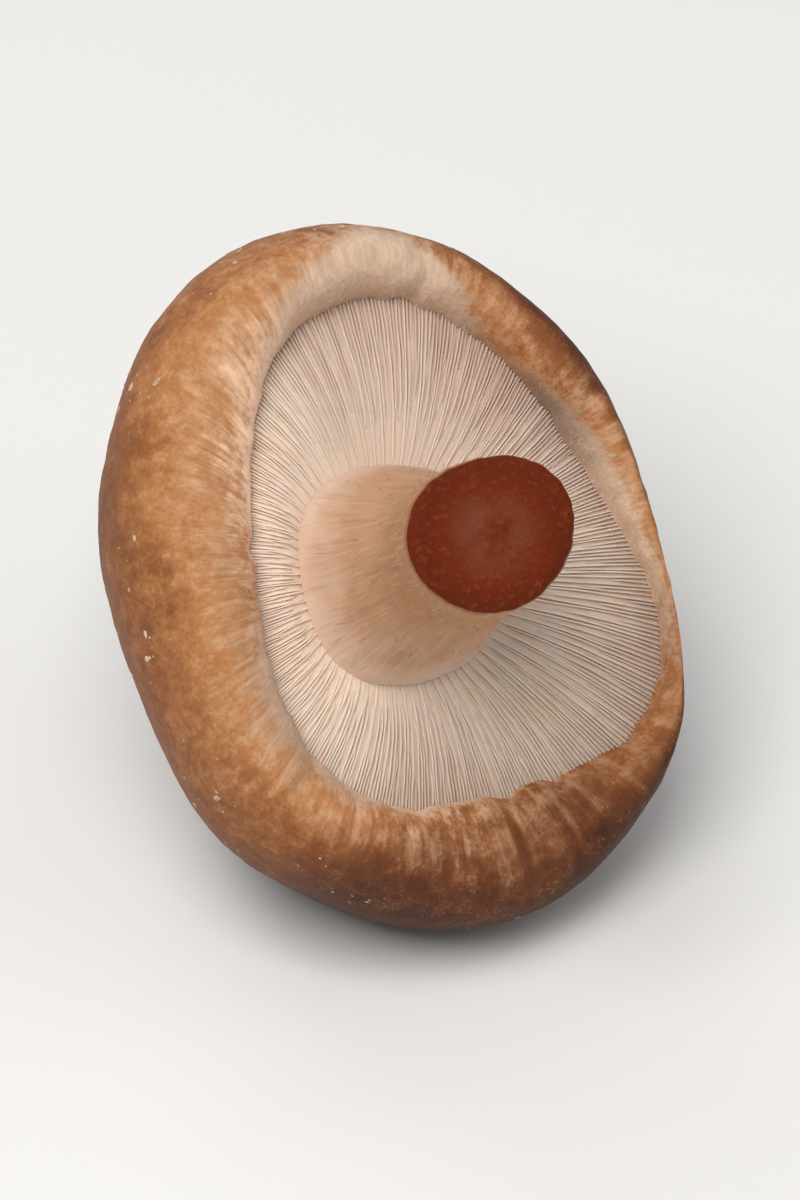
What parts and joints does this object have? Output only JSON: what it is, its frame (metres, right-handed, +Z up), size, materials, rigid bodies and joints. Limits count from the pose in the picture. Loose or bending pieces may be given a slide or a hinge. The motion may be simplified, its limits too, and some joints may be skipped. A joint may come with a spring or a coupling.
{
  "type": "mushroom",
  "caption": "Fresh shiitake mushroom with an inrolled brown cap, pale gills and a cut stem, lying tipped on its cap with the underside facing forwards.",
  "frame": {"origin": "middle of the bounding box's base, on the surface that the cap lies on", "axes": "+Z up from that surface; the cap's axis leans 46 degrees from +Z towards -Y, and the stem points along it; +X runs across the cap to the right, seen from the stem"},
  "size_m": [0.0366, 0.0428, 0.0438],
  "materials": {
    "cap_skin": "satin",
    "gill_cream": "matte",
    "stem_flesh": "matte"
  },
  "bodies": {
    "root": {"cap": "cap_skin", "gills": "gill_cream", "stem": "stem_flesh"}
  },
  "joints": []
}
